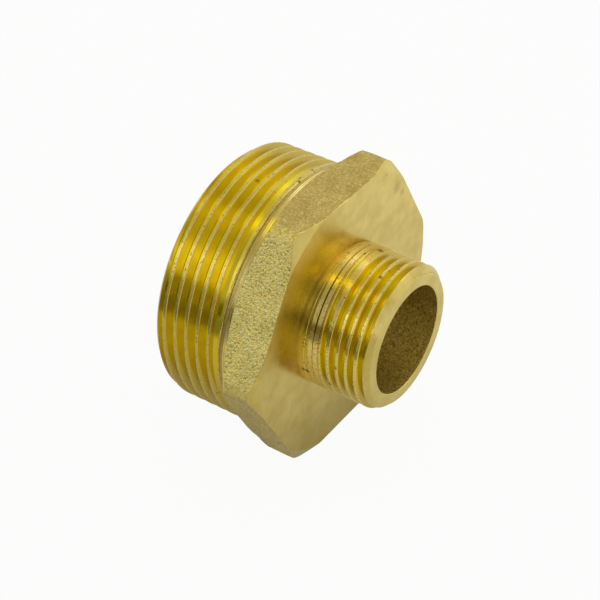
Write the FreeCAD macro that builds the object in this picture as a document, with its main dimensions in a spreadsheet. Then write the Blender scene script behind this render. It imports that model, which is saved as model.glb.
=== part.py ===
"""Reducing hex nipple: one brass pipe fitting with a large and a small male pipe thread.

The real piece is one hot-forged and turned brass body, so the document holds one PartDesign body.
In the body's own sketches X is the pipe axis, from the large thread to the small one, and x = 0 is
the machined front face of the hexagon. The finished body lies on one hexagon flat, +Z up.
"""
import FreeCAD, Part
import Sketcher
import math
import os

# Driving dimensions in millimetres and degrees
SIZES = {
    "hex_across_flats": (49.0, "wrench size of the hexagon"),
    "hex_thickness": (8.3, "length of the hexagon along the pipe axis"),
    "hex_edge_radius": (2.0, "forged rounding of the hexagon's long edges"),
    "parting_edge_radius": (3.6, "the two long edges where the forging's flash was trimmed"),
    "hex_front_circle": (51.4, "diameter left flat on the machined front face"),
    "hex_back_circle": (48.4, "diameter left flat on the back face"),
    "hex_chamfer_angle": (30.0, "turned chamfer of the hexagon's corners, from the face"),
    "large_diameter": (47.8, "outside diameter of the large thread"),
    "large_length": (15.5, "from the hexagon's back face to the large end"),
    "large_pitch": (2.309, "11 threads to the inch"),
    "large_groove_depth": (1.28, "cut depth of the large thread"),
    "large_crest_width": (0.58, "flat left on each crest"),
    "large_end_chamfer": (1.3, "45 degree chamfer of the large end"),
    "large_full_thread": (2.69, "last full groove's centre, before the hexagon's back face"),
    "large_runout_turns": (0.35, "turns over which the last groove fades out"),
    "large_runout_shift": (0.0, "how far it moves to the hexagon beyond its helix, over the run-out"),
    "collar_width": (1.35, "plain collar between the large thread and the hexagon"),
    "relief_width": (0.35, "turned relief that slopes down to the collar's edge"),
    "relief_depth": (0.4, "its depth at the collar"),
    "hex_groove_width": (0.6, "shallow turned groove between the collar and the hexagon"),
    "hex_groove_depth": (0.22, "its depth"),
    "small_diameter": (26.44, "outside diameter of the small thread"),
    "small_length": (12.4, "from the hexagon's front face to the small end"),
    "small_pitch": (1.814, "14 threads to the inch"),
    "small_groove_depth": (1.0, "cut depth of the small thread"),
    "small_crest_width": (0.6, "flat left on each crest"),
    "small_end_chamfer": (1.28, "45 degree chamfer of the small end"),
    "small_full_thread": (3.69, "last full groove's centre, in front of the hexagon's front face"),
    "small_runout_turns": (0.36, "turns over which the last groove fades out"),
    "small_runout_shift": (0.62, "how far it moves to the hexagon beyond its helix, over the run-out"),
    "shoulder_root": (0.15, "45 degree root between the front face and the small neck"),
    "flank_angle": (27.5, "half of the 55 degree thread angle"),
    "bore_diameter": (19.8, "bore through the small end"),
    "cavity_diameter": (40.0, "bore of the large end"),
    "cavity_depth": (15.6, "straight depth of the large bore"),
    "cavity_floor_angle": (25.0, "slope of the floor between the two bores"),
    "cavity_corner": (2.0, "45 degree corner between the large bore and its floor"),
}

doc = FreeCAD.newDocument("reducing_hex_nipple")
sheet = doc.addObject("Spreadsheet::Sheet", "sizes")
for row, (alias, (value, meaning)) in enumerate(SIZES.items(), start=1):
    sheet.set(f"A{row}", meaning)
    sheet.set(f"B{row}", str(value))
    sheet.setAlias(f"B{row}", alias)
doc.recompute()

body = doc.addObject("PartDesign::Body", "nipple_body")
doc.recompute()
origin_planes = {feature.Role: feature for feature in body.Origin.OriginFeatures}
ORIGIN_POINT = (-1, 1)

# Stations along the pipe axis, as expressions of the driving dimensions
HEX_BACK = "-sizes.hex_thickness"
LARGE_END = "-sizes.hex_thickness - sizes.large_length"
COLLAR_EDGE = "-sizes.hex_thickness - sizes.collar_width"
LARGE_RADIUS = "sizes.large_diameter / 2"
SMALL_RADIUS = "sizes.small_diameter / 2"
BORE_RADIUS = "sizes.bore_diameter / 2"
CAVITY_RADIUS = "sizes.cavity_diameter / 2"
HEX_CORNER = "sizes.hex_across_flats / sqrt(3)"
CLEAR = "2"              # how far a cutting profile runs out past the metal
FADE_PAST_METAL = "1.2"  # a run-out climbs this many groove depths, so that it leaves the metal
START_RADIUS = 10        # size of each sketch before its constraints move it into place


def ring_points(count):
    """Corners of a regular polygon of the start radius, for a sketch to begin from."""
    turns = [2 * math.pi * i / count for i in range(count)]
    return [FreeCAD.Vector(START_RADIUS * math.cos(turn), START_RADIUS * math.sin(turn), 0) for turn in turns]


def new_sketch(name, plane):
    """An empty sketch flat on one of the body's origin planes."""
    sketch = body.newObject("Sketcher::SketchObject", name)
    sketch.AttachmentSupport = [(origin_planes[plane], "")]
    sketch.MapMode = "FlatFace"
    return sketch


def profile(name, corners):
    """A closed outline of straight lines whose corners are (along, outwards) expressions."""
    sketch = new_sketch(name, "XY_Plane")
    count = len(corners)
    start = ring_points(count)
    for i in range(count):
        sketch.addGeometry(Part.LineSegment(start[i], start[(i + 1) % count]), False)
    for i in range(count):
        sketch.addConstraint(Sketcher.Constraint("Coincident", i, 2, (i + 1) % count, 1))
    for i, (along, outwards) in enumerate(corners):
        for kind, place, expression in (("DistanceX", start[i].x, along), ("DistanceY", start[i].y, outwards)):
            index = sketch.addConstraint(Sketcher.Constraint(kind, *ORIGIN_POINT, i, 1, place))
            sketch.setExpression(f"Constraints[{index}]", expression)
    return sketch


def turned(kind, name, corners):
    """A Revolution or a Groove of a profile about the pipe axis."""
    sketch = profile(name + "_profile", corners)
    feature = body.newObject("PartDesign::" + kind, name)
    feature.Profile = sketch
    feature.ReferenceAxis = (sketch, ["H_Axis"])
    feature.Angle = 360
    doc.recompute()


# Hexagon: forged flats, drawn as a regular hexagon with a flat at the bottom, then rounded
hexagon = new_sketch("hexagon", "YZ_Plane")
hex_points = ring_points(6)
for i in range(6):
    hexagon.addGeometry(Part.LineSegment(hex_points[i], hex_points[(i + 1) % 6]), False)
rim = hexagon.addGeometry(Part.Circle(FreeCAD.Vector(0, 0, 0), FreeCAD.Vector(0, 0, 1), START_RADIUS), True)
hexagon.addConstraint(Sketcher.Constraint("Coincident", rim, 3, *ORIGIN_POINT))
for i in range(6):
    hexagon.addConstraint(Sketcher.Constraint("Coincident", i, 2, (i + 1) % 6, 1))
    hexagon.addConstraint(Sketcher.Constraint("PointOnObject", i, 1, rim))
for i in range(1, 6):
    hexagon.addConstraint(Sketcher.Constraint("Equal", 0, i))
hexagon.addConstraint(Sketcher.Constraint("Horizontal", 1))
start_height = hex_points[1].y - hex_points[4].y
across = hexagon.addConstraint(Sketcher.Constraint("DistanceY", 4, 1, 1, 1, start_height))
hexagon.setExpression(f"Constraints[{across}]", "sizes.hex_across_flats")
hex_pad = body.newObject("PartDesign::Pad", "hex_pad")
hex_pad.Profile = hexagon
hex_pad.Reversed = True
hex_pad.setExpression("Length", "sizes.hex_thickness")
doc.recompute()


def round_long_edges(name, before, corner_angles, radius):
    """Rounds the hexagon's edges along the pipe at the given angles, from +Y towards +Z."""
    picked = []
    for number, edge in enumerate(before.Shape.Edges, start=1):
        along = abs(edge.tangentAt(edge.FirstParameter).x) > 0.99
        middle = edge.CenterOfMass
        angle = round(math.degrees(math.atan2(middle.z, middle.y))) % 360
        if along and angle in corner_angles:
            picked.append(f"Edge{number}")
    rounding = body.newObject("PartDesign::Fillet", name)
    rounding.Base = (before, picked)
    rounding.setExpression("Radius", radius)
    doc.recompute()
    return rounding


# The flash between the two forging dies was trimmed off two opposite edges, which left them rounder
parting_edges = round_long_edges("parting_edges", hex_pad, (60, 240), "sizes.parting_edge_radius")
round_long_edges("forged_edges", parting_edges, (0, 120, 180, 300), "sizes.hex_edge_radius")

# Turned chamfers that round off the hexagon's corners on both faces
CORNER_DROP = "({corner} + {clear} - {circle} / 2) * tan(sizes.hex_chamfer_angle * 1deg)"
front_drop = CORNER_DROP.format(corner=HEX_CORNER, clear=CLEAR, circle="sizes.hex_front_circle")
back_drop = CORNER_DROP.format(corner=HEX_CORNER, clear=CLEAR, circle="sizes.hex_back_circle")
turned("Groove", "front_corner_chamfer", [
    ("0", "sizes.hex_front_circle / 2"),
    (CLEAR, "sizes.hex_front_circle / 2"),
    (CLEAR, f"{HEX_CORNER} + {CLEAR}"),
    (f"-({front_drop})", f"{HEX_CORNER} + {CLEAR}"),
])
turned("Groove", "back_corner_chamfer", [
    (HEX_BACK, "sizes.hex_back_circle / 2"),
    (f"{HEX_BACK} + {back_drop}", f"{HEX_CORNER} + {CLEAR}"),
    (f"{HEX_BACK} - {CLEAR}", f"{HEX_CORNER} + {CLEAR}"),
    (f"{HEX_BACK} - {CLEAR}", "sizes.hex_back_circle / 2"),
])

# Large neck: chamfered thread blank, relief, collar and the groove beside the hexagon
turned("Revolution", "large_neck", [
    ("-sizes.hex_thickness / 2", "0"),
    (LARGE_END, "0"),
    (LARGE_END, f"{LARGE_RADIUS} - sizes.large_end_chamfer"),
    (f"{LARGE_END} + sizes.large_end_chamfer", LARGE_RADIUS),
    (f"{COLLAR_EDGE} - sizes.relief_width", LARGE_RADIUS),
    (COLLAR_EDGE, f"{LARGE_RADIUS} - sizes.relief_depth"),
    (COLLAR_EDGE, LARGE_RADIUS),
    (f"{HEX_BACK} - sizes.hex_groove_width", LARGE_RADIUS),
    (f"{HEX_BACK} - sizes.hex_groove_width", f"{LARGE_RADIUS} - sizes.hex_groove_depth"),
    ("-sizes.hex_thickness / 2", f"{LARGE_RADIUS} - sizes.hex_groove_depth"),
])

# Small neck: chamfered thread blank with a sloping root at the hexagon's front face
turned("Revolution", "small_neck", [
    ("-sizes.hex_thickness / 2", "0"),
    ("-sizes.hex_thickness / 2", f"{SMALL_RADIUS} + sizes.shoulder_root"),
    ("0", f"{SMALL_RADIUS} + sizes.shoulder_root"),
    ("sizes.shoulder_root", SMALL_RADIUS),
    ("sizes.small_length - sizes.small_end_chamfer", SMALL_RADIUS),
    ("sizes.small_length", f"{SMALL_RADIUS} - sizes.small_end_chamfer"),
    ("sizes.small_length", "0"),
])

# Stepped bore: wide in the large end, a sloping floor, then the small bore
floor_station = f"{LARGE_END} + sizes.cavity_depth"
floor_slope = "tan(sizes.cavity_floor_angle * 1deg)"
floor_rise = f"({CAVITY_RADIUS} - {BORE_RADIUS}) * {floor_slope}"
# The corner's 45 degree face starts on the bore wall and ends where it meets the sloping floor
corner_rise = f"sizes.cavity_corner * {floor_slope} / (1 - {floor_slope})"
turned("Groove", "through_bore", [
    (f"{LARGE_END} - {CLEAR}", "0"),
    (f"{LARGE_END} - {CLEAR}", CAVITY_RADIUS),
    (f"{floor_station} - sizes.cavity_corner", CAVITY_RADIUS),
    (f"{floor_station} + {corner_rise}", f"{CAVITY_RADIUS} - sizes.cavity_corner - ({corner_rise})"),
    (f"{floor_station} + {floor_rise}", BORE_RADIUS),
    (f"sizes.small_length + {CLEAR}", BORE_RADIUS),
    (f"sizes.small_length + {CLEAR}", "0"),
])


def pipe_thread(name, centre, radius, size, reach, inwards):
    """A right-handed helical groove with a fading run-out, both cut with one tool profile.

    The profile stands at -Y at the last full groove. reach is the length of the full groove out past
    the pipe's end, and inwards is the direction of the run-out, 1 for +X. The small thread's
    run-out climbs along its wall beside the hexagon, because its tool was fed in along that wall.
    """
    pitch = f"sizes.{size}_pitch"
    crest = f"sizes.{size}_crest_width"
    depth = f"sizes.{size}_groove_depth"
    slope = "tan(sizes.flank_angle * 1deg)"
    over = f"{depth} / 2"
    half_top = f"(({pitch} - {crest}) / 2 + {over} * {slope})"
    half_root = f"(({pitch} - {crest}) / 2 - {depth} * {slope})"
    outer = f"-({radius} + {over})"
    root = f"-({radius} - {depth})"
    tool = profile(name + "_tool", [
        (f"{centre} - {half_top}", outer),
        (f"{centre} - {half_root}", root),
        (f"{centre} + {half_root}", root),
        (f"{centre} + {half_top}", outer),
    ])
    turns = f"sizes.{size}_runout_turns"
    shift = f"sizes.{size}_runout_shift"
    fade = body.newObject("PartDesign::SubtractiveHelix", name + "_runout")
    fade.Profile = tool
    fade.ReferenceAxis = (tool, ["H_Axis"])
    fade.Mode = "height-turns-growth"
    fade.setExpression("Turns", turns)
    fade.setExpression("Height", f"{pitch} * {turns} + {shift}")
    fade.setExpression("Growth", f"{depth} * {FADE_PAST_METAL} / {turns}")
    fade.Reversed = inwards < 0
    doc.recompute()
    groove = body.newObject("PartDesign::SubtractiveHelix", name)
    groove.Profile = tool
    groove.ReferenceAxis = (tool, ["H_Axis"])
    groove.Mode = "pitch-height-angle"
    groove.setExpression("Pitch", pitch)
    groove.setExpression("Height", reach)
    groove.Reversed = inwards > 0
    doc.recompute()


large_centre = "(-sizes.hex_thickness - sizes.large_full_thread)"
pipe_thread("large_thread", large_centre, LARGE_RADIUS, "large",
            "sizes.large_length - sizes.large_full_thread + sizes.large_pitch", 1)
pipe_thread("small_thread", "sizes.small_full_thread", SMALL_RADIUS, "small",
            "sizes.small_length - sizes.small_full_thread + sizes.small_pitch", -1)

# The finished body lies on a hexagon flat, with the origin under the middle of its length
body.Label = "nipple_body"
body.setExpression("Placement.Base.x", "(sizes.hex_thickness + sizes.large_length - sizes.small_length) / 2")
body.setExpression("Placement.Base.z", "sizes.hex_across_flats / 2")
doc.recompute()

for item in doc.Objects:
    if "Invalid" in item.State or "Error" in item.State:
        raise RuntimeError(f"{item.Name} failed: {item.State}")
if body.Shape.isNull() or not body.Shape.isValid() or len(body.Shape.Solids) != 1:
    raise RuntimeError("the nipple is not one valid solid")

os.makedirs("parts", exist_ok=True)
body.Shape.exportStep(os.path.join("parts", body.Label + ".step"))
box = body.Shape.optimalBoundingBox(False)
print(f"{body.Label}: {body.Shape.Volume:.1f} cubic mm, "
      f"x {box.XMin:.2f} to {box.XMax:.2f}, y {box.YMin:.2f} to {box.YMax:.2f}, z {box.ZMin:.2f} to {box.ZMax:.2f}")
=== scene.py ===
import math

import bpy
import numpy as np
from mathutils import Matrix, Vector


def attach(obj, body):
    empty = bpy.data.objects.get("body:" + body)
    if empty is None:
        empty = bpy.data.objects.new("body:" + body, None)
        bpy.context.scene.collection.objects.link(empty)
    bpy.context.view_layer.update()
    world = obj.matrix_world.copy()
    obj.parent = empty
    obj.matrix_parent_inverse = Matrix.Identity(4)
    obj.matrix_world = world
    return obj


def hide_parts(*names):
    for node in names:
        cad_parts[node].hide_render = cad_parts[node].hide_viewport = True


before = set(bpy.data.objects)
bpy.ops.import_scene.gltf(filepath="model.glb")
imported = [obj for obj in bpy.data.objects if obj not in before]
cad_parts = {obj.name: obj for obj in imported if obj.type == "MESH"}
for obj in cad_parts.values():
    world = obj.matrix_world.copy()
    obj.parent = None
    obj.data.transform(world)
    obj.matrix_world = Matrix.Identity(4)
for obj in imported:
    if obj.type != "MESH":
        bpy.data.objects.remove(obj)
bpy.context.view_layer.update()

# The nipple's outside
# One hot-forged brass body. Its hexagon keeps the grainy forged skin; both threads, the collar, the
# chamfers and the end faces are turned. Lengths are millimetres: station runs along the pipe from the
# hexagon's machined front face towards the small thread, and angle goes round it from +Y towards +Z.

# The hexagon lies on a flat, so its long edges stand at every 60 degrees. The two where the forging's
# flash was trimmed are rounder than the rest. The mesh has even columns round the pipe, and six more
# over the rounding of each edge.
HEX_APOTHEM = 24.5
HEX_LENGTH = 8.3
HALF_FLAT = math.radians(30)
EDGE_RADIUS = {0: 2.0, 60: 3.6, 120: 2.0, 180: 3.0, 240: 3.6, 300: 2.0}
COLUMNS_PER_FLAT = 32
COLUMNS_OVER_EDGE = (-1, -0.66, -0.33, 0.33, 0.66, 1)


def rounding_reach(edge_radius):
    """Degrees from an edge of the hexagon to where its rounding meets the flat.

    The circle's centre lies inside the corner, at the distance from the axis that lets it touch both
    flats. From there the meeting point is half a radius across and cos 30 of a radius further out.
    """
    centre = (HEX_APOTHEM - edge_radius) / math.cos(HALF_FLAT)
    return math.degrees(math.atan2(edge_radius / 2, centre + edge_radius * math.cos(HALF_FLAT)))


even_angles = np.arange(6 * COLUMNS_PER_FLAT) * 60 / COLUMNS_PER_FLAT
edge_angles = [edge + share * rounding_reach(edge_radius) for edge, edge_radius in EDGE_RADIUS.items()
               for share in COLUMNS_OVER_EDGE]
angle = np.append(np.unique(np.round(np.append(even_angles, edge_angles) % 360, 3)), 360.0)


def hexagon_radius(degrees):
    """Distance from the axis to a hexagon with rounded edges.

    Away from an edge it is the apothem over the cosine of the angle from the flat's middle. Near an
    edge it is the far crossing of the ray with a circle of the edge radius, set inside the corner.
    """
    nearest_edge = np.round(degrees / 60) * 60
    from_edge = np.radians(degrees - nearest_edge)
    edge_radius = np.array([EDGE_RADIUS[edge % 360] for edge in nearest_edge])
    reach = np.radians([rounding_reach(r) for r in edge_radius])
    flat = HEX_APOTHEM / np.cos(HALF_FLAT - np.abs(from_edge))
    centre = (HEX_APOTHEM - edge_radius) / math.cos(HALF_FLAT)
    inside = edge_radius ** 2 - (centre * np.sin(from_edge)) ** 2
    rounded = centre * np.cos(from_edge) + np.sqrt(np.maximum(inside, 0))
    return np.where(np.abs(from_edge) < reach, rounded, flat)


def soft_min(a, b, width):
    """The smaller of two heights, with the corner between them rounded over the given width.

    Where the heights are closer than the width, the square of what they lack of it, over four widths,
    comes off the smaller one.
    """
    return np.minimum(a, b) - np.maximum(width - np.abs(a - b), 0) ** 2 / (4 * width)


# The finishes, in the order in which the mesh takes their materials.
THREAD, POLISHED, TURNED, COLLAR, FORGED, BORE = range(6)
band_stations = []
band_radii = []
band_finishes = []
band_cuts = []


def add_band(corners, steps, finish):
    """A profile carried round the pipe: straight runs between (station, radius) corners.

    Each run from one corner to the next is cut into its own number of equal steps. A corner's station
    or radius may be one number, or one for each angle. The last corner is left to the next band.
    """
    for start, end, count in zip(corners[:-1], corners[1:], steps):
        share = (np.arange(count) / count)[:, None]
        station = start[0] * (1 - share) + end[0] * share + 0 * angle
        radius = start[1] * (1 - share) + end[1] * share + 0 * angle
        band_stations.append(station)
        band_radii.append(radius)
        band_finishes.append(np.full(station.shape, finish))
        band_cuts.append(np.zeros(station.shape))


# Large thread, 11 to the inch
# Turned on the large neck with a 55 degree tool, and run out into a short relief beside the collar.
# Over the last turn the groove is flat and shallow. The rows of its mesh follow the helix, so that
# crests and roots stay crisp.
LARGE_RADIUS = 23.9
LARGE_END = -23.8
LARGE_CHAMFER = 1.3
LARGE_BORE = 20.0
COLLAR_EDGE = -9.65
RELIEF = 0.35
RELIEF_DEPTH = 0.4
FLANK = math.tan(math.radians(27.5))

# A run-out climbs this many groove depths, and a groove takes this part of a turn to become blunt.
CUT_PAST_METAL = 1.2
BLUNT_FADE = 0.15

# Lines deeper than this in the blank count as tool lines, fully at twice the depth. A chamfer is still
# a turned face where the thread cuts it less than this.
LINE_DEPTH = 0.2
SHALLOW_CUT = 0.1

# Rounding of the blank's and the relief's corners, and the small break of the bore's edge and the rim.
BLANK_ROUND = 0.08
RELIEF_ROUND = 0.06
LARGE_BORE_BREAK = 0.15
RIM_BREAK = 0.1
RIM_STEP = 0.04


def thread_form(station, blank, thread):
    """Radius of a threaded neck at each station and angle.

    The groove is a rounded floor with two straight flanks, measured from the nearest turn of its
    helix. Past the last full turn the whole groove climbs steadily until it leaves the metal, and
    may shift towards the hexagon as it does. In a blunt stretch it goes no deeper than a flat,
    tilted floor. The neck is the smaller of the groove and the blank.
    """
    lead = (angle - thread["full_angle"]) / 360
    turns = (station - thread["full_at"]) / thread["pitch"] - lead
    nearest = np.round(turns)
    past_full = np.maximum(thread["towards_hexagon"] * (nearest + lead), 0) / thread["runout"]
    shift = thread["towards_hexagon"] * thread["shift"] * past_full
    off_centre = np.abs((turns - nearest) * thread["pitch"] - shift)
    lift = thread["depth"] * CUT_PAST_METAL * past_full
    half_root = (thread["pitch"] - thread["crest"]) / 2 - thread["depth"] * FLANK
    rise = -soft_min(np.zeros_like(station), -(off_centre - half_root) / FLANK, thread["root_round"])
    groove = thread["radius"] - thread["depth"] + lift + rise
    along_helix = thread["towards_hexagon"] * (nearest + lead)
    blunt = np.clip((along_helix + thread["blunt_turns"]) / BLUNT_FADE + 1, 0, 1)
    slope = thread["blunt_slope"] * (turns - nearest) * thread["pitch"]
    floor_depth = thread["depth"] * (1 - blunt) + (thread["blunt_depth"] + slope) * blunt
    blunt_floor = thread["radius"] - floor_depth
    return soft_min(blank, np.maximum(groove, blunt_floor), thread["crest_round"])


def thread_rows(first, last, thread, row_shares):
    """Stations of helical rows between two stations, clamped to both.

    A row's station is the last full groove's, plus one pitch for each turn and the row's share of a
    turn, and one pitch for each 360 degrees round. So each row winds along one line of the thread.
    """
    pitch = thread["pitch"]
    lead = (angle - thread["full_angle"]) / 360
    turn_range = [(edge - thread["full_at"]) / pitch - lead[side] for edge, side in ((first, -1), (last, 0))]
    centres = np.arange(math.floor(turn_range[0]), math.ceil(turn_range[1]) + 1)
    places = (centres[:, None] + np.array(row_shares)[None, :]).ravel()
    station = thread["full_at"] + pitch * (places[:, None] + lead[None, :])
    return np.clip(station, first, last)


def pitch_shares(thread, root_cuts, flank_cuts, crest_cuts):
    """Where the helical rows cut one pitch, as shares of it, the same on both sides of the crest.

    The cuts are shares of the half root, of the flank and of the half crest, one after the other from
    the groove's centre. The other half is one minus each, without those that fall on the same place.
    """
    same_place = 1e-6
    half_root = (thread["pitch"] - thread["crest"]) / 2 - thread["depth"] * FLANK
    flank = thread["depth"] * FLANK
    half = [half_root * c for c in root_cuts]
    half += [half_root + flank * c for c in flank_cuts]
    half += [half_root + flank + thread["crest"] / 2 * c for c in crest_cuts]
    half = np.array(half) / thread["pitch"]
    mirrored = 1 - half[::-1]
    return list(half) + [m for m in mirrored if m - half[-1] > same_place and m < 1 - same_place]


def add_thread(first, last, thread, blank_of, row_shares):
    """The helical rows of a thread as one band, with the share of the full cut at each point.

    The share is negative, down to -1, in fine lines and reliefs that are cut into the blank itself.
    """
    station = thread_rows(first, last, thread, row_shares)
    blank = blank_of(station)
    radius = thread_form(station, blank, thread)
    band_stations.append(station[:-1])
    band_radii.append(radius[:-1])
    band_finishes.append(np.full(station[:-1].shape, THREAD))
    in_line = np.clip((thread["radius"] - blank - LINE_DEPTH) / LINE_DEPTH, 0, 1)
    band_cuts.append(np.where(in_line > 0, -in_line, (blank - radius) / thread["depth"])[:-1])


def add_chamfer(first, last, count, thread, blank_of):
    """A threaded end chamfer, in plain rings. A face is turned where its mean cut is shallow."""
    station = np.linspace(first, last, count + 1)[:-1, None] + 0 * angle
    blank = blank_of(station)
    radius = thread_form(station, blank, thread)
    cut = blank - radius
    corner_mean = cut.copy()
    corner_mean[:-1, :-1] = (cut[:-1, :-1] + cut[1:, :-1] + cut[:-1, 1:] + cut[1:, 1:]) / 4
    band_stations.append(station)
    band_radii.append(radius)
    band_finishes.append(np.where(corner_mean < SHALLOW_CUT, TURNED, THREAD))
    band_cuts.append(cut / thread["depth"])


# The centre of the last full groove is at a station, at an angle round the pipe. The run-out is in turns,
# and the shift in millimetres over it. The blunt stretch takes the run-out and so many turns before it.
large_thread = {
    "radius": LARGE_RADIUS, "pitch": 2.309, "depth": 1.45, "crest": 0.46, "root_round": 0.15,
    "crest_round": 0.14, "full_at": -10.99, "full_angle": 180.0, "runout": 0.35, "shift": 0.0,
    "towards_hexagon": 1, "blunt_turns": 0.45, "blunt_depth": 0.75, "blunt_slope": 0.15,
}


def large_blank(station):
    """The large neck before threading: end chamfer, straight neck, and the relief's slope."""
    chamfer = LARGE_RADIUS - LARGE_CHAMFER + (station - LARGE_END)
    relief = LARGE_RADIUS - (station - COLLAR_EDGE + RELIEF) * RELIEF_DEPTH / RELIEF
    neck = np.full_like(station, LARGE_RADIUS)
    return soft_min(soft_min(neck, chamfer, BLANK_ROUND), relief, RELIEF_ROUND)


COLLAR_STEP = 0.02
CHAMFER_ROWS = 9
large_rim = LARGE_RADIUS - LARGE_CHAMFER
large_rows = pitch_shares(large_thread, root_cuts=(0, 0.6), flank_cuts=(0.0, 0.12, 0.45, 0.74, 0.87, 0.97),
                          crest_cuts=(0.15, 0.5, 1))
add_band([(LARGE_END, LARGE_BORE + LARGE_BORE_BREAK), (LARGE_END, large_rim - RIM_BREAK)], [4], TURNED)
add_chamfer(LARGE_END + RIM_STEP, LARGE_END + LARGE_CHAMFER, CHAMFER_ROWS, large_thread, large_blank)
add_thread(LARGE_END + LARGE_CHAMFER, COLLAR_EDGE - COLLAR_STEP, large_thread, large_blank, large_rows)

# Collar and hexagon
# A plain satin collar stands between the relief and the hexagon, with a shallow bright groove beside
# the hexagon. The hexagon keeps its forged flats, and a lathe has turned its corners off on both faces.
FRONT_CIRCLE = 25.7
BACK_CIRCLE = 24.2
CHAMFER_SLOPE = math.tan(math.radians(30))
COLLAR_BREAK = 0.06
COLLAR_BACK_ROUND = 0.05
COLLAR_FRONT_ROUND = 0.13
COLLAR_FRONT = -9.08

# The groove has a sloping side, a floor that is deeper towards the hexagon, and a small lip at each end.
# The hexagon's back face then ends in a small break.
HEX_GROOVE_FROM = -8.82
HEX_GROOVE_TO = -8.40
HEX_GROOVE = 23.68
GROOVE_SIDE = 0.07
GROOVE_DEEPER = 0.07
COLLAR_LIP = 0.05
HEXAGON_LIP = 0.06
BACK_RIM_BREAK = 0.05
BACK_RIM_STEP = 0.03

add_band([(COLLAR_EDGE - COLLAR_STEP, LARGE_RADIUS - RELIEF_DEPTH),
          (COLLAR_EDGE, LARGE_RADIUS - COLLAR_BREAK), (COLLAR_EDGE + COLLAR_BACK_ROUND, LARGE_RADIUS),
          (COLLAR_FRONT, LARGE_RADIUS)], [2, 1, 3], COLLAR)
add_band([(COLLAR_FRONT, LARGE_RADIUS), (COLLAR_FRONT + COLLAR_FRONT_ROUND, LARGE_RADIUS - COLLAR_BREAK),
          (HEX_GROOVE_FROM - GROOVE_SIDE, HEX_GROOVE + COLLAR_LIP), (HEX_GROOVE_FROM, HEX_GROOVE),
          (HEX_GROOVE_TO, HEX_GROOVE - GROOVE_DEEPER), (-HEX_LENGTH, HEX_GROOVE + HEXAGON_LIP),
          (-HEX_LENGTH, BACK_CIRCLE - BACK_RIM_BREAK)], [1, 2, 1, 2, 1, 2], POLISHED)

# Each end of the hexagon is a cone where that is smaller than the hexagon. The break of the front edge
# is uneven, from 0.6 to 2.2 times the back edge's.
EDGE_BREAK = 0.07
hex_radius = hexagon_radius(angle)
back_corner = -HEX_LENGTH + np.maximum(hex_radius - BACK_CIRCLE, 0) * CHAMFER_SLOPE
front_corner = -np.maximum(hex_radius - FRONT_CIRCLE, 0) * CHAMFER_SLOPE
front_rim = np.minimum(hex_radius, FRONT_CIRCLE)
worn_break = EDGE_BREAK * np.random.default_rng(5).uniform(0.6, 2.2, len(angle))
worn_break[-1] = worn_break[0]
add_band([(-HEX_LENGTH + BACK_RIM_STEP, BACK_CIRCLE), (back_corner, hex_radius - EDGE_BREAK)], [3], TURNED)
add_band([(back_corner + EDGE_BREAK, hex_radius), (front_corner - worn_break, hex_radius)], [14], FORGED)
add_band([(front_corner - worn_break, hex_radius), (front_corner, hex_radius - EDGE_BREAK)], [1], TURNED)
add_band([(front_corner, hex_radius - EDGE_BREAK), (0.0, front_rim - EDGE_BREAK)], [3], TURNED)

# Front face and small thread, 14 to the inch
# The front face is turned flat and meets the small neck in a sharp inner corner. The thread's last
# groove fades out before it, and lighter passes of the tool left two fine lines on the neck.
SMALL_RADIUS = 13.22
SMALL_END = 12.4
SMALL_CHAMFER = 1.28
SMALL_BORE = 9.9
SMALL_BORE_BREAK = 0.1
SMALL_RIM_BREAK = 0.03
SHOULDER_ROOT = 0.05

# This thread has no blunt stretch: with fewer turns than none it starts past the run-out, where the
# groove has left the metal.
small_thread = {
    "radius": SMALL_RADIUS, "pitch": 1.814, "depth": 1.12, "crest": 0.5, "root_round": 0.1,
    "crest_round": 0.12, "full_at": 3.69, "full_angle": 180.0, "runout": 0.36, "shift": 0.62,
    "towards_hexagon": -1, "blunt_turns": -1.0, "blunt_depth": 0.0, "blunt_slope": 0.0,
}


# Depth that light passes of the tool left along the helix, by turns from the last full groove: two
# fine lines, with the skin between them lowered in shallow cones. They fade out over some degrees
# before they have gone half round, and further rows of the mesh follow them.
PASS_TURNS = (-1.70, -1.617, -1.234, -1.17, -1.121, -1.07, -1.041, -0.648, -0.60, -0.569, -0.323, -0.041,
              0.569, 0.617)
PASS_DEPTHS = (0.0, 0.0, 0.17, 0.45, 0.50, 0.40, 0.0, 0.18, 0.40, 0.03, 0.03, 0.0, 0.14, 0.0)
PASS_HALF_ROUND = 178
PASS_FADE = 20
PASS_ROWS = [0.4, 0.83, 0.93]


def small_blank(station):
    """The small neck before threading: root, neck with its light passes, and end chamfer.

    The passes fade out on the side of the neck away from -Y, where the helix starts over.
    """
    root = SMALL_RADIUS + SHOULDER_ROOT - station
    chamfer = SMALL_RADIUS - (station - SMALL_END + SMALL_CHAMFER)
    turns = (station - small_thread["full_at"]) / small_thread["pitch"] - (angle - 180) / 360
    facing = np.clip((PASS_HALF_ROUND - np.abs(angle - 180)) / PASS_FADE, 0, 1)
    neck = SMALL_RADIUS - np.interp(turns, PASS_TURNS, PASS_DEPTHS) * facing
    return soft_min(np.maximum(neck, root), chamfer, BLANK_ROUND)


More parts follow.
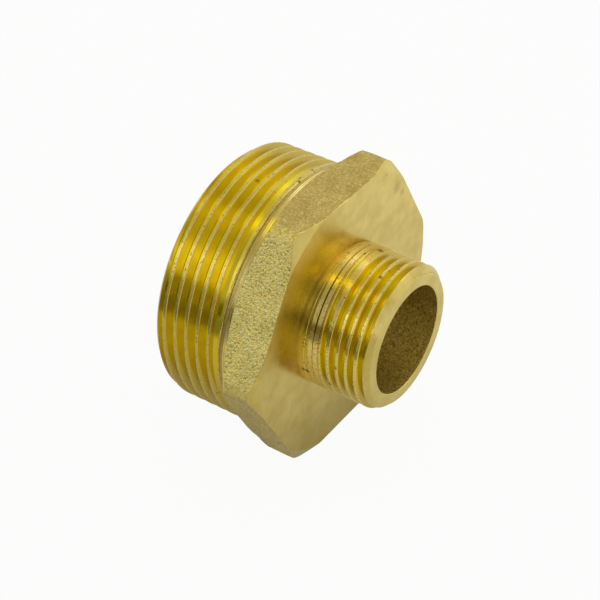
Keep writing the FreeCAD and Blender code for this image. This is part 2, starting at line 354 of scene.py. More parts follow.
small_rim = SMALL_RADIUS - SMALL_CHAMFER
small_rows = pitch_shares(small_thread, root_cuts=(0, 0.6), flank_cuts=(0.0, 0.25, 0.6, 0.88, 0.97),
                          crest_cuts=(0.15, 0.5, 1))
add_band([(0.0, front_rim - EDGE_BREAK), (0.0, SMALL_RADIUS + SHOULDER_ROOT)], [23], TURNED)
add_band([(0.0, SMALL_RADIUS + SHOULDER_ROOT), (SHOULDER_ROOT, SMALL_RADIUS)], [2], THREAD)
add_thread(SHOULDER_ROOT, SMALL_END - SMALL_CHAMFER, small_thread, small_blank,
           sorted(small_rows + PASS_ROWS))
add_chamfer(SMALL_END - SMALL_CHAMFER, SMALL_END - RIM_STEP, CHAMFER_ROWS, small_thread, small_blank)
add_band([(SMALL_END - SMALL_RIM_BREAK, small_rim + SMALL_RIM_BREAK),
          (SMALL_END, small_rim - SMALL_RIM_BREAK), (SMALL_END, SMALL_BORE + SMALL_BORE_BREAK),
          (SMALL_END - SMALL_BORE_BREAK, SMALL_BORE)], [1, 5, 1], TURNED)

# Bore
# The small bore keeps its dark forged skin and opens through a sloping floor into the wide bore of
# the large end. A chamfer fills the corner between that floor and the wide bore.
CAVITY_SLOPE = math.tan(math.radians(25))
CAVITY_DEPTH = 15.6
CAVITY_CORNER = 2.0
cavity_foot = LARGE_END + CAVITY_DEPTH
corner_rise = CAVITY_CORNER * CAVITY_SLOPE / (1 - CAVITY_SLOPE)
cavity_top = cavity_foot + (LARGE_BORE - SMALL_BORE) * CAVITY_SLOPE
add_band([(SMALL_END - SMALL_BORE_BREAK, SMALL_BORE), (cavity_top, SMALL_BORE),
          (cavity_foot + corner_rise, LARGE_BORE - CAVITY_CORNER - corner_rise),
          (cavity_foot - CAVITY_CORNER, LARGE_BORE), (LARGE_END + LARGE_BORE_BREAK, LARGE_BORE),
          (LARGE_END, LARGE_BORE + LARGE_BORE_BREAK)], [16, 8, 3, 10, 2], BORE)

# The bands follow one another from the large end round to it again, through the bore.
station = np.concatenate(band_stations)
radius = np.concatenate(band_radii)
finish = np.concatenate(band_finishes)
cut_share = np.concatenate(band_cuts)
station = np.concatenate([station, station[:1]])
radius = np.concatenate([radius, radius[:1]])
cut_share = np.concatenate([cut_share, cut_share[:1]])

# Skin of the hexagon's flats
# Shot-blasted after forging: shallow dents a few millimetres wide over finer lumps. They only go
# inwards, so the wrench size stays. The skin sinks a little under the flat, and no dent goes deeper
# than its limit. The front face's place along X turns a station into a place in the part's frame.
FRONT_FACE_X = 5.7
DENT_SIZE = 5.0
DENT_HEIGHT = 0.05
LUMP_SIZE = 1.7
LUMP_HEIGHT = 0.018
SKIN_SINK = 0.06
DEEPEST_DENT = 0.2
ON_SKIN = 0.001


def uneven(points, wavelength, count, seed):
    """A smooth field of about unit size: a sum of plane sine waves in random directions.

    Each wave has its own direction and phase, and a length of 0.7 to 1.4 times the given one. The sum
    is divided by the root of half their number.
    """
    draw = np.random.default_rng(seed)
    direction = draw.normal(size=(count, 3))
    direction /= np.linalg.norm(direction, axis=1)[:, None]
    length = wavelength * draw.uniform(0.7, 1.4, count)
    phase = draw.uniform(0, 2 * math.pi, count)
    waves = np.sin(points @ (direction * (2 * math.pi / length)[:, None]).T + phase)
    return waves.sum(axis=-1) * math.sqrt(2 / count)


def place(along, out):
    """Points in millimetres in the part's frame, from station and radius at each angle."""
    turn = np.radians(angle)
    return np.stack([along + FRONT_FACE_X, out * np.cos(turn), HEX_APOTHEM + out * np.sin(turn)], axis=-1)


points = place(station, radius)
dents = (DENT_HEIGHT * uneven(points, DENT_SIZE, count=24, seed=3)
         + LUMP_HEIGHT * uneven(points, LUMP_SIZE, count=32, seed=4) - SKIN_SINK)
on_hexagon = (station > back_corner) & (station < front_corner) & (radius > hex_radius - ON_SKIN)
radius = radius + np.where(on_hexagon, np.clip(dents, -DEEPEST_DENT, 0), 0)

# The finished mesh joins every band into one closed skin. Rows of a thread that are clamped together,
# and the first and last columns, fall on the same points and are merged. Of a face whose corners
# merged, a triangle is left, or nothing. Edges sharper than 28 degrees stay sharp.
SHARP_EDGE = math.radians(28)
MERGE_DECIMALS = 5
points = place(station, radius).reshape(-1, 3)
unique_points, kept, index = np.unique(np.round(points, MERGE_DECIMALS) + 0.0, axis=0,
                                       return_index=True, return_inverse=True)
index = index.reshape(station.shape)
quads = np.stack([index[:-1, :-1], index[:-1, 1:], index[1:, 1:], index[1:, :-1]], axis=-1).reshape(-1, 4)
finishes = finish[:, :-1].ravel()
same_as_next = quads == np.roll(quads, -1, axis=1)
folded = (quads[:, 0] == quads[:, 2]) | (quads[:, 1] == quads[:, 3])
doubles = same_as_next.sum(axis=1)
whole = quads[(doubles == 0) & ~folded]
pinched = (doubles == 1) & ~folded
triangles = quads[pinched][~same_as_next[pinched]].reshape(-1, 3)

nipple_mesh = bpy.data.meshes.new("brass_nipple")
nipple_mesh.from_pydata((unique_points / 1000).tolist(), [], whole.tolist() + triangles.tolist())
face_finish = np.concatenate([finishes[(doubles == 0) & ~folded], finishes[pinched]])
nipple_mesh.polygons.foreach_set("material_index", face_finish.astype(np.int32))
nipple_mesh.polygons.foreach_set("use_smooth", np.ones(len(face_finish), dtype=bool))
nipple_mesh.set_sharp_from_angle(angle=SHARP_EDGE)

# How deep the forged grain is on each flat, from 0 to 1, by the angle of the flat's middle. The
# blasting struck one flat hardest. The depth is even up to 27 degrees from the middle. The same number
# also sets how bright each flat's colour is painted, as painted light.
GRAIN_AND_LIGHT_OF_FLAT = {30: 0.6, 90: 0.3, 150: 1.0, 210: 0.45, 270: 0.5, 330: 0.7}
EVEN_GRAIN = 27.0
point_angle = np.degrees(np.arctan2(unique_points[:, 2] - HEX_APOTHEM, unique_points[:, 1])) % 360
flat_middles = np.array([-30] + list(GRAIN_AND_LIGHT_OF_FLAT) + [390])
flat_grains = np.array([GRAIN_AND_LIGHT_OF_FLAT[330]] + list(GRAIN_AND_LIGHT_OF_FLAT.values()) + [GRAIN_AND_LIGHT_OF_FLAT[30]])
grain_ends = np.repeat(flat_middles, 2) + np.tile([-EVEN_GRAIN, EVEN_GRAIN], len(flat_middles))
grain_and_light = np.interp(point_angle, grain_ends, np.repeat(flat_grains, 2))
grain = nipple_mesh.attributes.new("grain_and_light", "FLOAT", "POINT")
grain.data.foreach_set("value", grain_and_light.astype(np.float32))
cut = nipple_mesh.attributes.new("cut_share", "FLOAT", "POINT")
cut.data.foreach_set("value", cut_share.ravel()[kept].astype(np.float32))

nipple_mesh.update()
nipple = bpy.data.objects.new("brass_nipple", nipple_mesh)
bpy.context.scene.collection.objects.link(nipple)
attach(nipple, "root")
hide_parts("nipple_body")


# Finishes of the brass
# All are the same metal. Each finish differs in colour, gloss and relief, which come from noise and
# rings in the part's own coordinates. Distances in them are metres, and colours are linear.


def add_node(tree, kind, feeds=(), **settings):
    """A shader node. Feeds pairs an input with a plain value or with another node's output."""
    node = tree.nodes.new("ShaderNode" + kind)
    for name, value in settings.items():
        setattr(node, name, value)
    for name, value in dict(feeds).items():
        if isinstance(value, bpy.types.NodeSocket):
            tree.links.new(value, node.inputs[name])
        else:
            node.inputs[name].default_value = value
    return node


def new_finish(name, roughness):
    """An opaque metal material, its node tree, its shader and the part's own coordinates."""
    material = bpy.data.materials.new(name)
    material.use_nodes = True
    tree = material.node_tree
    shader = tree.nodes["Principled BSDF"]
    shader.inputs["Metallic"].default_value = 1.0
    shader.inputs["Roughness"].default_value = roughness
    nipple_mesh.materials.append(material)
    here = add_node(tree, "TexCoord").outputs["Object"]
    return tree, shader, here


def along_at(station):
    """A station's place along X in the part's frame, in metres."""
    return (station + FRONT_FACE_X) / 1000


def speckle(tree, here, size, detail=2.0, rough=0.5):
    """Noise from 0 to 1 whose lumps are about as wide as the size in millimetres."""
    noise = add_node(tree, "TexNoise", {"Vector": here, "Scale": 1000 / size, "Detail": detail,
                                        "Roughness": rough})
    return noise.outputs["Fac"]


def spread(tree, value, low, high, to_low, to_high):
    """The value between low and high stretched to a new range, and held at its ends."""
    mapped = add_node(tree, "MapRange", {"Value": value, "From Min": low, "From Max": high,
                                         "To Min": to_low, "To Max": to_high})
    return mapped.outputs["Result"]


def blend_colours(tree, share, first, second):
    """From the first colour at 0 to the second at 1; a colour may be a tuple or a node's output."""
    mix = add_node(tree, "Mix", {0: share, 6: first, 7: second}, data_type="RGBA")
    return mix.outputs[2]


def times(tree, first, second):
    """The product of two values."""
    return add_node(tree, "Math", {0: first, 1: second}, operation="MULTIPLY").outputs[0]


def larger(tree, first, second):
    """The larger of two values."""
    return add_node(tree, "Math", {0: first, 1: second}, operation="MAXIMUM").outputs[0]


def plus(tree, first, second):
    """The sum of two values."""
    return add_node(tree, "Math", {0: first, 1: second}, operation="ADD").outputs[0]


def relief(tree, height, depth, under=None):
    """A bump of the given depth in millimetres, on top of another bump where one is given."""
    feeds = {"Height": height, "Strength": 1.0, "Distance": depth / 1000}
    if under is not None:
        feeds["Normal"] = under
    return add_node(tree, "Bump", feeds).outputs["Normal"]


def lathe_rings(tree, here, spacing):
    """Fine uneven rings round the pipe's axis, by distance from it and by station."""
    centred = add_node(tree, "Mapping", {"Vector": here, "Location": (0, 0, -HEX_APOTHEM / 1000)})
    split = add_node(tree, "SeparateXYZ", {"Vector": centred.outputs["Vector"]})
    flat = add_node(tree, "CombineXYZ", {"X": split.outputs["Y"], "Y": split.outputs["Z"], "Z": 0.0})
    out = add_node(tree, "VectorMath", {0: flat.outputs["Vector"]}, operation="LENGTH").outputs["Value"]
    both = add_node(tree, "CombineXYZ", {"X": split.outputs["X"], "Y": out, "Z": 0.0})
    rings = add_node(tree, "TexNoise", {"Vector": both.outputs["Vector"], "Scale": 1000 / spacing,
                                        "Detail": 3.0, "Roughness": 0.6})
    return rings.outputs["Fac"]


# Small dark spots: centre in the part's frame, and reach, in millimetres. Noise with lumps of the ragged
# width moves their edges by up to half the ragged reach. A spot is fully dark out to its core's share.
RAGGED_WIDTH = 0.4
RAGGED_REACH = 0.8
SPOT_CORE = 0.3
SPOTS = (((-10.1, -2.0, 47.7), 0.5), ((-5.0, 4.6, 48.0), 0.6), ((-5.0, 0.8, 48.4), 0.5),
         ((-5.3, -2.9, 48.2), 0.45), ((-4.3, 0.0, 48.4), 0.5), ((-5.2, -22.6, 16.7), 0.9),
         ((-4.7, -21.5, 14.0), 0.7), ((9.2, 4.7, 36.8), 0.8), ((8.0, 1.5, 37.6), 0.4),
         ((13.6, -2.3, 37.5), 0.45), ((15.0, 1.0, 37.7), 0.45), ((12.1, -13.2, 24.7), 0.4),
         ((6.1, -12.7, 20.8), 0.6), ((10.2, -12.2, 19.6), 0.6), ((17.4, -10.1, 32.1), 0.35),
         ((5.7, 11.7, 47.0), 0.5), ((5.7, 15.2, 42.5), 1.6), ((5.7, 17.1, 40.4), 1.0))


def stains(tree, here):
    """The share of soil, 1 in the core of each spot and 0 past its reach, with ragged edges.

    The place is moved by noise from 0 to the ragged reach, so the centres move by half of that.
    """
    ragged = add_node(tree, "TexNoise", {"Vector": here, "Scale": 1000 / RAGGED_WIDTH}).outputs["Color"]
    moved = add_node(tree, "VectorMath", {0: ragged, 1: (RAGGED_REACH / 1000,) * 3}, operation="MULTIPLY")
    ragged_here = add_node(tree, "VectorMath", {0: here, 1: moved.outputs["Vector"]}, operation="ADD")
    darkening = None
    for centre, reach in SPOTS:
        shifted = tuple(c / 1000 + RAGGED_REACH / 2 / 1000 for c in centre)
        away = add_node(tree, "VectorMath", {0: ragged_here.outputs["Vector"], 1: shifted},
                        operation="DISTANCE").outputs["Value"]
        spot = spread(tree, away, SPOT_CORE * reach / 1000, reach / 1000, 1, 0)
        darkening = spot if darkening is None else larger(tree, darkening, spot)
    return darkening


FRONTWARD = (0, -0.73, 0.68)


def round_the_pipe(tree, here):
    """Distance from the pipe's axis, how far round it towards -Y and up, and height over it.

    The second is the outward direction's dot product with one halfway between -Y and up: 1 there,
    and -1 on the other side of the pipe.
    """
    centred = add_node(tree, "Mapping", {"Vector": here, "Location": (0, 0, -HEX_APOTHEM / 1000)})
    square = add_node(tree, "VectorMath", {0: centred.outputs["Vector"], 1: (0, 1, 1)},
                      operation="MULTIPLY")
    out = add_node(tree, "VectorMath", {0: square.outputs["Vector"]}, operation="LENGTH").outputs["Value"]
    outwards = add_node(tree, "VectorMath", {0: square.outputs["Vector"]}, operation="NORMALIZE")
    frontward = add_node(tree, "VectorMath", {0: outwards.outputs["Vector"], 1: FRONTWARD},
                         operation="DOT_PRODUCT").outputs["Value"]
    height = add_node(tree, "SeparateXYZ", {"Vector": square.outputs["Vector"]}).outputs["Z"]
    return out, frontward, height


def thread_finish():
    """Both threads: the blank's own pale skin on crests and necks, flecked with tiny pits.

    Where the tool cut deeper the brass is bare of skin and deep gold, with faint lines along the groove.
    Over the top and underneath the thread is rougher, and its grooves are painted paler and duller, as
    painted light. The roots of the small thread carry painted shade away from the side towards -Y and
    up, and the tool lines of its neck carry painted shade on that side. The small thread's grooves are
    painted darker towards its end, as painted shade, and its skin is painted lighter and paler on its
    lower half, as painted light. The two threads' tones are told apart by the place along the pipe.
    """
    tree, shader, here = new_finish("thread_brass", 0.15)
    # Where on the thread
    cut = add_node(tree, "Attribute", attribute_name="cut_share").outputs["Fac"]
    in_groove = spread(tree, cut, 0.03, 0.12, 0, 1)
    on_crest = spread(tree, cut, 0.02, 0.10, 1, 0)
    along = add_node(tree, "SeparateXYZ", {"Vector": here}).outputs["X"]
    on_small = spread(tree, along, along_at(-0.2), along_at(0), 0, 1)
    _, frontward, height = round_the_pipe(tree, here)
    # Painted light: over the top and underneath, away from the side towards -Y and up, the grooves are
    # painted paler and duller; there the thread is also rougher.
    rougher_and_painted_paler = spread(tree, frontward, 0.42, 0.72, 1, 0)

    # Skin of the crests and necks, and painted shade in the tool lines
    scuffs = speckle(tree, here, 0.6, 4.0, 0.6)
    pits = times(tree, spread(tree, speckle(tree, here, 0.33, 2.0), 0.30, 0.40, 1, 0), on_crest)
    scuffed_share = spread(tree, scuffs, 0.35, 0.65, 0, 1)
    large_skin = blend_colours(tree, scuffed_share, (0.82, 0.63, 0.16, 1), (0.70, 0.53, 0.13, 1))
    small_skin = blend_colours(tree, scuffed_share, (0.88, 0.69, 0.20, 1), (0.80, 0.61, 0.16, 1))
    # Painted light: the small thread's skin is painted lighter and paler on its lower half.
    painted_light_below = spread(tree, height, 0.002, 0.0045, 1, 0)
    small_skin = blend_colours(tree, painted_light_below, small_skin, (1.0, 0.80, 0.25, 1))
    pale = blend_colours(tree, on_small, large_skin, small_skin)
    skin = blend_colours(tree, pits, pale, (0.34, 0.23, 0.06, 1))
    # Painted shade: the tool lines of the small neck are darkened on the side towards -Y and up; the
    # darkening also takes in the dark spots.
    line = times(tree, spread(tree, cut, -0.8, -0.1, 0.6, 0), spread(tree, frontward, 0.90, 0.97, 0, 1))
    darkening = larger(tree, stains(tree, here), line)

    # Gold of the grooves, with painted light and painted shade
    clouds = speckle(tree, here, 2.2, 3.0)
    large_gold = blend_colours(tree, spread(tree, clouds, 0.35, 0.65, 0, 1),
                               (0.84, 0.67, 0.055, 1), (0.77, 0.61, 0.065, 1))
    large_gold = blend_colours(tree, spread(tree, along, along_at(-12.8), along_at(-12.4), 0, 1),
                               large_gold, (0.84, 0.66, 0.045, 1))
    # Painted shade: the small thread's grooves are painted darker towards its end.
    small_gold = blend_colours(tree, spread(tree, along, along_at(4.8), along_at(9.3), 0, 1),
                               (0.90, 0.765, 0.06, 1), (0.80, 0.64, 0.05, 1))
    clean_gold = blend_colours(tree, on_small, large_gold, small_gold)
    gold = blend_colours(tree, rougher_and_painted_paler, clean_gold, (0.69, 0.515, 0.10, 1))
    # Painted shade: the deepest cut of the small thread's roots is darkened away from the side towards -Y
    # and up.
    root = times(tree, spread(tree, cut, 0.88, 0.97, 0, 0.8), spread(tree, frontward, 0.70, 0.85, 1, 0))
    root = times(tree, root, on_small)
    groove = blend_colours(tree, root, gold, (0.30, 0.20, 0.02, 1))
    clean_and_sheen = blend_colours(tree, in_groove, skin, groove)
    tree.links.new(blend_colours(tree, darkening, clean_and_sheen, (0.20, 0.13, 0.03, 1)), shader.inputs["Base Color"])

    # Gloss and relief
    rings = lathe_rings(tree, here, 0.22)
    gloss = plus(tree, spread(tree, rings, 0.3, 0.7, 0.09, 0.18), times(tree, rougher_and_painted_paler, 0.22))
    tree.links.new(gloss, shader.inputs["Roughness"])
    wavy = relief(tree, clouds, 0.02)
    grooved = relief(tree, rings, 0.004, wavy)
    scuffed = relief(tree, times(tree, scuffs, on_crest), 0.008, grooved)
    tree.links.new(relief(tree, pits, -0.015, scuffed), shader.inputs["Normal"])


def polished_finish():
    """The small lathe-cut groove between the collar and the hexagon: nearly a mirror."""
    tree, shader, here = new_finish("polished_brass", 0.15)
    clouds = speckle(tree, here, 1.5, 3.0)
    colour = blend_colours(tree, spread(tree, clouds, 0.35, 0.65, 0, 1),
                           (0.98, 0.84, 0.36, 1), (0.88, 0.72, 0.24, 1))
    tree.links.new(colour, shader.inputs["Base Color"])
    tree.links.new(relief(tree, clouds, 0.01), shader.inputs["Normal"])


def turned_finish():
    """Turned faces: bright satin with soft clouds and faint rings.

    Beside the neck, on the side towards -Y and up, the front face is painted a deeper gold, a painted
    reflection of the neck, with painted shade close in and a painted bright gold highlight near the top.
    Further out on that side it is rougher, and low down it is painted a little darker, as shade.
    """
    tree, shader, here = new_finish("turned_brass", 0.25)
    rings = lathe_rings(tree, here, 0.18)
    clouds = speckle(tree, here, 4.5, 3.0, 0.55)
    smears = speckle(tree, here, 4.0, 3.0, 0.6)
    out, frontward, height = round_the_pipe(tree, here)
    ground = blend_colours(tree, spread(tree, smears, 0.35, 0.65, 0, 1),
                           (0.74, 0.57, 0.14, 1), (0.89, 0.705, 0.215, 1))

    # Painted reflection and painted shade on the front face beside the neck
    along = add_node(tree, "SeparateXYZ", {"Vector": here}).outputs["X"]
    on_face = times(tree, spread(tree, along, along_at(-0.7), along_at(-0.2), 0, 1),
                    spread(tree, along, along_at(0.3), along_at(0.8), 1, 0))
    # Painted reflection of the neck in the front face, with painted shade close in and a painted bright
    # highlight near the top.
    on_side = spread(tree, frontward, 0.71, 0.89, 0, 1)
    reach = larger(tree, spread(tree, out, 0.0165, 0.0185, 1, 0), spread(tree, height, 0.003, 0.008, 0, 1))
    by_neck = times(tree, spread(tree, out, 0.0190, 0.0260, 1, 0), reach)
    # Painted shade in the inner corner by the neck.
    core = times(tree, spread(tree, out, 0.0148, 0.0175, 1, 0), spread(tree, frontward, 0.93, 0.99, 0, 1))
    # Painted highlight: bright gold near the top.
    above = times(tree, spread(tree, height, 0.008, 0.014, 0, 1), spread(tree, frontward, 0.92, 0.99, 1, 0))
    clean_and_sheen = times(tree, above, spread(tree, out, 0.0170, 0.0210, 1, 0))
    painted_neck_reflection = blend_colours(tree, core, (0.62, 0.495, 0.075, 1), (0.38, 0.31, 0.045, 1))
    painted_neck_reflection = blend_colours(tree, clean_and_sheen, painted_neck_reflection, (0.88, 0.70, 0.11, 1))
    with_painted_reflection = blend_colours(tree, times(tree, times(tree, on_face, on_side), by_neck), ground, painted_neck_reflection)

    # Shade low down, dark spots, gloss and relief
    low_down = spread(tree, height, -0.0245, -0.0105, 0.5, 0)
    shaded = blend_colours(tree, low_down, with_painted_reflection, (0.32, 0.23, 0.01, 1))
    darkening = times(tree, stains(tree, here), 0.3)
    tree.links.new(blend_colours(tree, darkening, shaded, (0.25, 0.18, 0.05, 1)), shader.inputs["Base Color"])
    duller = times(tree, times(tree, on_face, on_side), spread(tree, out, 0.0195, 0.0240, 0, 0.17))
    gloss = plus(tree, spread(tree, smears, 0.3, 0.7, 0.18, 0.28), duller)
    tree.links.new(gloss, shader.inputs["Roughness"])
    hollows = relief(tree, clouds, 0.05)
    tree.links.new(relief(tree, rings, 0.002, hollows), shader.inputs["Normal"])


def collar_finish():
    """The collar: turned, then blasted with the hexagon, so it is satin and faintly grained."""
    tree, shader, here = new_finish("collar_brass", 0.32)
    grain = speckle(tree, here, 0.5, 3.0, 0.6)
    colour = blend_colours(tree, spread(tree, grain, 0.35, 0.65, 0, 1),
                           (0.50, 0.38, 0.10, 1), (0.62, 0.48, 0.13, 1))
    tree.links.new(colour, shader.inputs["Base Color"])
    tree.links.new(relief(tree, grain, 0.04), shader.inputs["Normal"])


def forged_finish():
    """The blasted skin of the flats: grain under half a millimetre wide, with painted bright glints in
    broken flecks.

    Where the blasting hit hardest the grain is deep and sparkles, and the flat's colour is painted
    brighter, as painted light; elsewhere the skin is painted dull.
    """
    tree, shader, here = new_finish("forged_brass", 0.4)
    depth = add_node(tree, "Attribute", attribute_name="grain_and_light").outputs["Fac"]
    # Painted light: each flat's colour goes from dull to bright by its number in the table of flats.
    painted_light_by_flat = spread(tree, depth, 0.3, 1.0, 0, 1)
    grain = speckle(tree, here, 0.42, 3.0, 0.65)
    patches = spread(tree, speckle(tree, here, 3.0, 3.0), 0.35, 0.65, 0, 1)
    dull = blend_colours(tree, patches, (0.53, 0.395, 0.10, 1), (0.66, 0.49, 0.14, 1))
    bright = blend_colours(tree, patches, (0.97, 0.785, 0.20, 1), (1.0, 0.82, 0.24, 1))
    ground = blend_colours(tree, painted_light_by_flat, dull, bright)
    hollows = times(tree, spread(tree, grain, 0.34, 0.48, 0.9, 0), spread(tree, depth, 0, 1, 0.8, 1.0))
    pitted = blend_colours(tree, hollows, ground, (0.44, 0.32, 0.05, 1))
    # Painted glints: bright cream flecks along broken ridges of noise, more where the grain is deeper.
    from_middle = plus(tree, speckle(tree, here, 0.8, 2.0), -0.5)
    ridge = add_node(tree, "Math", {0: from_middle}, operation="ABSOLUTE").outputs[0]
    broken = spread(tree, speckle(tree, here, 0.5, 2.0), 0.45, 0.55, 0, 1)
    painted_glints = times(tree, spread(tree, ridge, 0.025, 0.08, 1, 0), broken)
    painted_glints = times(tree, painted_glints, spread(tree, depth, 0.3, 1.0, 0.35, 1))
    tree.links.new(blend_colours(tree, painted_glints, pitted, (1.0, 0.91, 0.40, 1)), shader.inputs["Base Color"])
    tree.links.new(spread(tree, depth, 0.3, 1.0, 0.52, 0.27), shader.inputs["Roughness"])
    raised = relief(tree, painted_glints, 0.03)
    tree.links.new(relief(tree, times(tree, grain, depth), 0.17, raised), shader.inputs["Normal"])


def bore_finish():
    """Inside: rough forged brass, browned and dull."""
    tree, shader, here = new_finish("bore_brass", 0.5)
    grain = speckle(tree, here, 0.4, 3.0, 0.7)
    colour = blend_colours(tree, spread(tree, grain, 0.35, 0.65, 0, 1),
                           (0.30, 0.20, 0.03, 1), (0.74, 0.57, 0.14, 1))
    tree.links.new(colour, shader.inputs["Base Color"])
    tree.links.new(relief(tree, grain, 0.16), shader.inputs["Normal"])


thread_finish()
polished_finish()
turned_finish()
collar_finish()
forged_finish()
bore_finish()

# Floor
# A pale paper. The camera sees it nearly white, and it keeps the nipple's shadow. Mirror rays see a
# painted glow on it: bright behind the nipple, dimmer in front of it, and dark further in front.
FLOOR_REACH = 3.0
AWAY_FROM_CAMERA = (0.47, 0.88, 0)
SHOWN_DIRECTLY = 0.95

# How brightly the paper glows in the metal, by metres behind the nipple. Up to the first pair the metal
# sees that glow alone, and from the second on half of it and half of the lit paper.
PAPER_IN_METAL = ((-0.135, 0.21), (-0.105, 0.52), (-0.02, 0.50), (0.09, 1.0))
floor_mesh = bpy.data.meshes.new("floor")
floor_mesh.from_pydata([(-FLOOR_REACH, -FLOOR_REACH, 0), (FLOOR_REACH, -FLOOR_REACH, 0),
                        (FLOOR_REACH, FLOOR_REACH, 0), (-FLOOR_REACH, FLOOR_REACH, 0)], [], [(0, 1, 2, 3)])
floor = bpy.data.objects.new("floor", floor_mesh)
bpy.context.scene.collection.objects.link(floor)

floor_paper = bpy.data.materials.new("floor_paper")
floor_paper.use_nodes = True
tree = floor_paper.node_tree
tree.nodes.clear()
path = add_node(tree, "LightPath").outputs
floor_here = add_node(tree, "TexCoord").outputs["Object"]
behind = add_node(tree, "VectorMath", {0: floor_here, 1: AWAY_FROM_CAMERA},
                  operation="DOT_PRODUCT").outputs["Value"]
paper_from = PAPER_IN_METAL[0][0]
paper_depth = PAPER_IN_METAL[-1][0] - paper_from
along_paper = spread(tree, behind, paper_from, paper_from + paper_depth, 0, 1)
across = add_node(tree, "ValToRGB", {"Fac": along_paper})
stops = across.color_ramp.elements
for distance, brightness in PAPER_IN_METAL[1:-1]:
    stops.new((distance - paper_from) / paper_depth)
for stop, (distance, brightness) in zip(sorted(stops, key=lambda s: s.position), PAPER_IN_METAL):
    stop.color = (brightness, brightness, brightness, 1)
mirrored = larger(tree, path["Is Glossy Ray"], path["Is Transmission Ray"])
glow_share = spread(tree, behind, paper_from, PAPER_IN_METAL[1][0], 1.0, 0.5)
shown_in_metal = times(tree, mirrored, glow_share)
shown_directly = times(tree, path["Is Camera Ray"], SHOWN_DIRECTLY)
share = larger(tree, shown_directly, shown_in_metal)
glow = add_node(tree, "Mix", {0: path["Is Camera Ray"], 2: across.outputs["Color"], 3: 1.0}).outputs[0]
paper = add_node(tree, "BsdfDiffuse", {"Color": (0.8, 0.8, 0.8, 1)}).outputs[0]
# The glow is painted light on the paper, seen by mirror rays.
painted_glow = add_node(tree, "Emission", {"Color": (1, 1, 1, 1), "Strength": glow}).outputs[0]
shown = add_node(tree, "MixShader", {0: share, 1: paper, 2: painted_glow}).outputs[0]
add_node(tree, "OutputMaterial", {"Surface": shown})
floor_mesh.materials.append(floor_paper)

# Studio light
# Long white panels that lie along the pipe, behind it, over it and in front, with darker gaps between
# them, and not alike on its two sides. Each stop of a ramp is an angle from +Y up and over to -Y in
# degrees, the brightness there, and how warm the light is: 0 for white, 1 for warm, -1 for cool.
LARGE_SIDE = ((0, 0.80, 0), (30, 0.80, 0), (50, 0.80, 0), (66, 0.72, 0), (72, 0.58, 0), (86, 0.54, 0),
              (90, 0.74, 0), (95, 0.84, 0), (104, 0.78, 0), (110, 0.62, 0), (118, 0.60, 0), (124, 0.67, 0),
              (130, 0.82, 0), (136, 1.10, -0.15), (142, 1.18, -0.15), (150, 1.00, -0.1), (158, 0.96, 0),
              (161, 0.76, 0), (164, 0.38, 0), (180, 0.31, 0))
SMALL_SIDE = ((0, 0.55, 0), (10, 0.63, 0), (20, 0.76, 0), (30, 0.90, 0), (40, 0.92, 0), (46, 1.02, 0),
              (50, 1.22, 0), (56, 1.08, 0), (62, 0.93, 0), (68, 0.68, 0.2), (74, 0.58, 0.3), (86, 0.56, 0.5),
              (90, 0.90, 1), (97, 1.25, 1), (102, 0.84, 0.8), (107, 0.50, 0.4), (114, 0.41, 0.2),
              (128, 0.39, 0), (134, 0.45, 0), (140, 0.53, 0), (150, 0.50, 0), (160, 0.48, 0),
              (165, 0.36, 0), (169, 0.14, 0.8), (180, 0.10, 0.8))
BRIGHTEST = 1.25
WARM_GREEN = 0.88
WARM_BLUE = 0.15

# A direction's share of +X tells the sides apart: the small side's panels fade in and out over these
# two stretches, and near either end of the pipe an even light takes over.
SMALL_SIDE_IN = (-0.36, -0.26)
SMALL_SIDE_OUT = (0.52, 0.64)
END_FADE = (0.8, 0.97)
END_LIGHT = 0.62
world = bpy.data.worlds.new("studio")
bpy.context.scene.world = world
world.use_nodes = True
tree = world.node_tree
tree.nodes.clear()
towards = add_node(tree, "SeparateXYZ", {"Vector": add_node(tree, "TexCoord").outputs["Generated"]}).outputs
over = add_node(tree, "Math", {0: towards["Z"], 1: towards["Y"]}, operation="ARCTAN2").outputs[0]
over_share = add_node(tree, "Math", {0: over, 1: math.pi}, operation="DIVIDE").outputs[0]


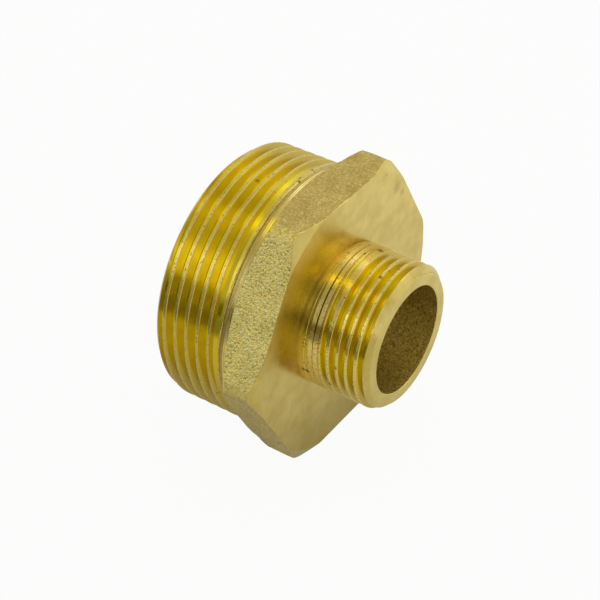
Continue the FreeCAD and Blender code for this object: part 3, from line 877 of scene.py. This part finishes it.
def panel_ramp(panels):
    """The colour of one side's panels by angle over the pipe.

    Warmth takes green and blue down towards their warm shares of the brightness, and up where it is
    below zero.
    """
    ramp = add_node(tree, "ValToRGB", {"Fac": over_share})
    stops = ramp.color_ramp.elements
    for degrees, brightness, warmth in panels[1:-1]:
        stops.new(degrees / 180)
    for stop, (degrees, brightness, warmth) in zip(sorted(stops, key=lambda s: s.position), panels):
        shade = brightness / BRIGHTEST
        green = shade * (1 + warmth * (WARM_GREEN - 1))
        blue = shade * (1 + warmth * (WARM_BLUE - 1))
        stop.color = (shade, green, blue, 1)
    return ramp.outputs["Color"]


beside = times(tree, spread(tree, towards["X"], *SMALL_SIDE_IN, 0, 1),
               spread(tree, towards["X"], *SMALL_SIDE_OUT, 1, 0))
panels = blend_colours(tree, beside, panel_ramp(LARGE_SIDE), panel_ramp(SMALL_SIDE))
end_on = add_node(tree, "Math", {0: towards["X"]}, operation="ABSOLUTE").outputs[0]
near_ends = add_node(tree, "MapRange", {"Value": end_on, "From Min": END_FADE[0], "From Max": END_FADE[1]},
                     interpolation_type="SMOOTHSTEP").outputs[0]
end_shade = END_LIGHT / BRIGHTEST
studio = blend_colours(tree, near_ends, panels, (end_shade, end_shade, end_shade, 1))
for_camera = add_node(tree, "LightPath").outputs["Is Camera Ray"]
colour = blend_colours(tree, for_camera, studio, (1, 1, 1, 1))
strength = add_node(tree, "Mix", {0: for_camera, 2: BRIGHTEST, 3: 1.0}).outputs[0]
sky = add_node(tree, "Background", {"Color": colour, "Strength": strength}).outputs[0]
add_node(tree, "OutputWorld", {"Surface": sky})

# Camera
# It stands where the photograph was taken from, as fitted to the hexagon, both threads and the bore.
# Its place is in metres, and it looks along one direction, turned a little about it.
CAMERA_AT = Vector((0.126657, -0.193149, 0.208020))
CAMERA_LOOK = Vector((-0.43922, 0.64916, -0.62103)).normalized()
CAMERA_ROLL = math.radians(0.315)
camera_data = bpy.data.cameras.new("camera")
camera_data.lens = 101.43
camera_data.sensor_width = 36
camera_data.clip_start = 0.01
camera = bpy.data.objects.new("camera", camera_data)
camera.location = CAMERA_AT
level = CAMERA_LOOK.cross(Vector((0, 0, 1))).normalized()
camera_right = level * math.cos(CAMERA_ROLL) + level.cross(CAMERA_LOOK) * math.sin(CAMERA_ROLL)
camera_up = camera_right.cross(CAMERA_LOOK)
camera.rotation_euler = Matrix((camera_right, camera_up, -CAMERA_LOOK)).transposed().to_euler()
bpy.context.scene.collection.objects.link(camera)
bpy.context.scene.camera = camera
bpy.context.scene.view_settings.view_transform = "Standard"
